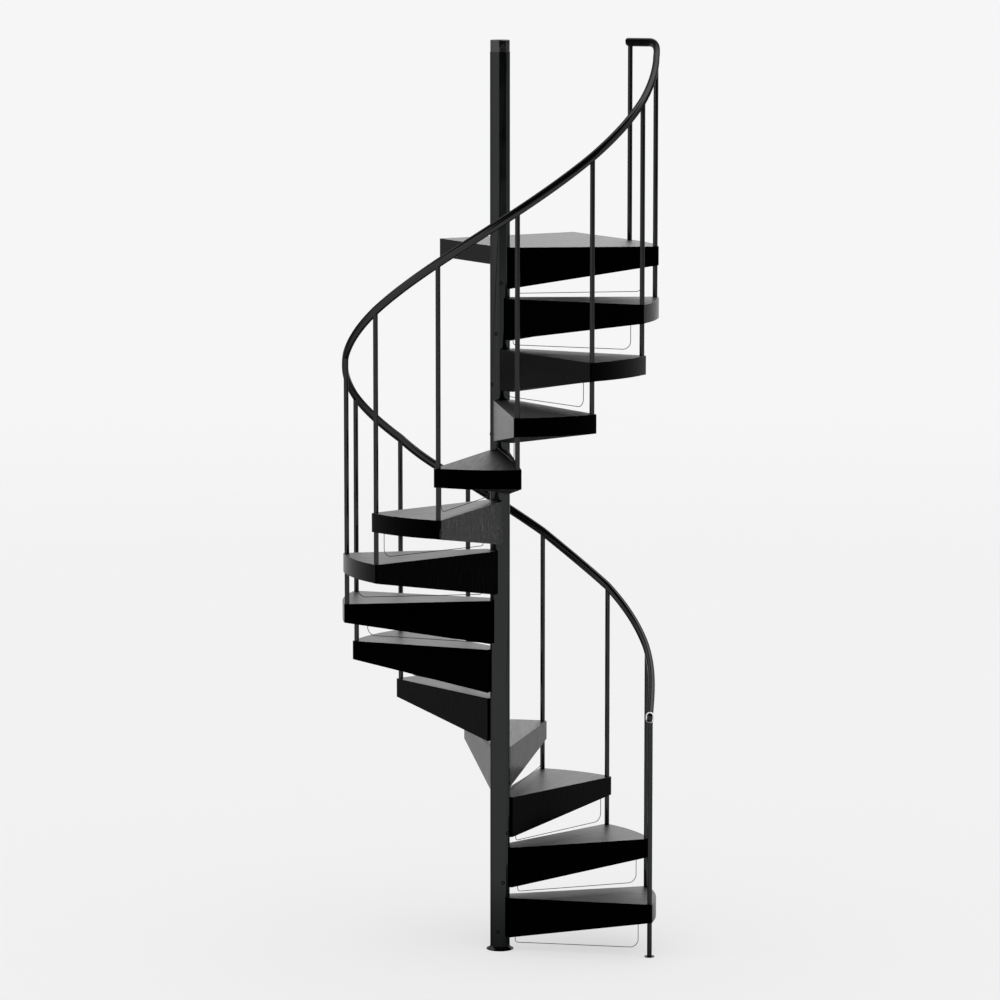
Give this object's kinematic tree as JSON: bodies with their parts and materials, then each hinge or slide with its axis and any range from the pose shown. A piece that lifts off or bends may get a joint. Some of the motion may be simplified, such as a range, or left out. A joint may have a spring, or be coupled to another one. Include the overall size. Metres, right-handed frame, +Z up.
{
  "type": "spiral staircase",
  "caption": "Spiral staircase round a central column, with deep wedge treads, a square-cornered top landing, slim balusters and a helical handrail.",
  "frame": {"origin": "centre of the column's base flange, on its underside, where it stands on the floor", "axes": "+Z up along the column; +X to the right and +Y away from someone who stands in front of the stair, as it was seen; the treads turn counter-clockwise from above"},
  "size_m": [1.402, 1.5092, 4.0733],
  "materials": {
    "black_stained_wood": "satin",
    "black_steel": "gloss",
    "black_rail": "gloss",
    "polished_cap": "polished"
  },
  "bodies": {
    "root": {"baluster_00": "black_steel", "baluster_01": "black_steel", "baluster_02": "black_steel", "baluster_03": "black_steel", "baluster_04": "black_steel", "baluster_05": "black_steel", "baluster_06": "black_steel", "baluster_07": "black_steel", "baluster_08": "black_steel", "baluster_09": "black_steel", "baluster_10": "black_steel", "baluster_11": "black_steel", "baluster_12": "black_steel", "baluster_13": "black_steel", "baluster_14": "black_steel", "baluster_foot": "black_steel", "column": "black_steel", "column_base": "black_steel", "column_cap": "black_steel", "handrail": "black_rail", "handrail_end_cap": "polished_cap", "landing": "black_stained_wood", "riser_bar_01": "black_steel", "riser_bar_02": "black_steel", "riser_bar_03": "black_steel", "riser_bar_04": "black_steel", "riser_bar_05": "black_steel", "riser_bar_06": "black_steel", "riser_bar_07": "black_steel", "riser_bar_08": "black_steel", "riser_bar_09": "black_steel", "riser_bar_10": "black_steel", "riser_bar_11": "black_steel", "riser_bar_12": "black_steel", "riser_bar_13": "black_steel", "riser_bar_14": "black_steel", "tread_01": "black_stained_wood", "tread_02": "black_stained_wood", "tread_03": "black_stained_wood", "tread_04": "black_stained_wood", "tread_05": "black_stained_wood", "tread_06": "black_stained_wood", "tread_07": "black_stained_wood", "tread_08": "black_stained_wood", "tread_09": "black_stained_wood", "tread_10": "black_stained_wood", "tread_11": "black_stained_wood", "tread_12": "black_stained_wood", "tread_13": "black_stained_wood"}
  },
  "joints": []
}
